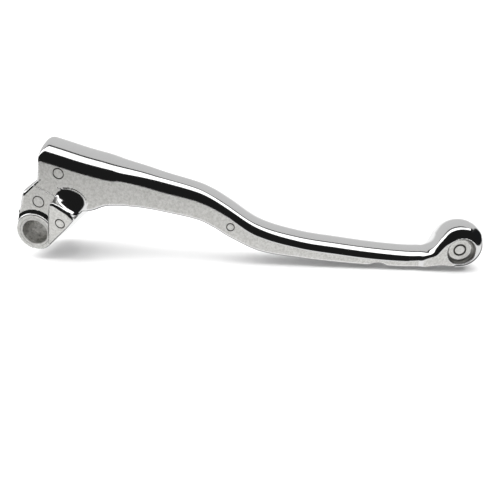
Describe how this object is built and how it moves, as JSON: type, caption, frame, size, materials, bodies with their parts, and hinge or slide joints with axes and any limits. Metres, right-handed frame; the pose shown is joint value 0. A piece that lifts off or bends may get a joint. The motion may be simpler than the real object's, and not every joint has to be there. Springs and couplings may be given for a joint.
{
  "type": "clutch lever",
  "caption": "Ball-ended motorcycle clutch lever: a polished aluminium casting with a stop lug and cable nipple seat, turning on a steel pivot bush.",
  "frame": {"origin": "on the pivot axis, at half the thickness of the finger blade", "axes": "+X from the pivot along the blade towards the ball end; +Y along the pivot axis, away from the flat underside; +Z forward, away from the handlebar grip"},
  "size_m": [0.1853, 0.0279, 0.0481],
  "materials": {
    "cast_aluminium": "polished die casting with plain cast flats",
    "bush_steel": "dull turned steel"
  },
  "bodies": {
    "pivot": {"pivot_bush": "bush_steel"},
    "lever": {"lever_casting": "cast_aluminium"}
  },
  "joints": [
    {"name": "lever_swing", "type": "hinge", "parent": "pivot", "child": "lever", "pos_m": [0, 0, 0], "axis": [0, -1, 0], "range_deg": [0, 22]}
  ]
}
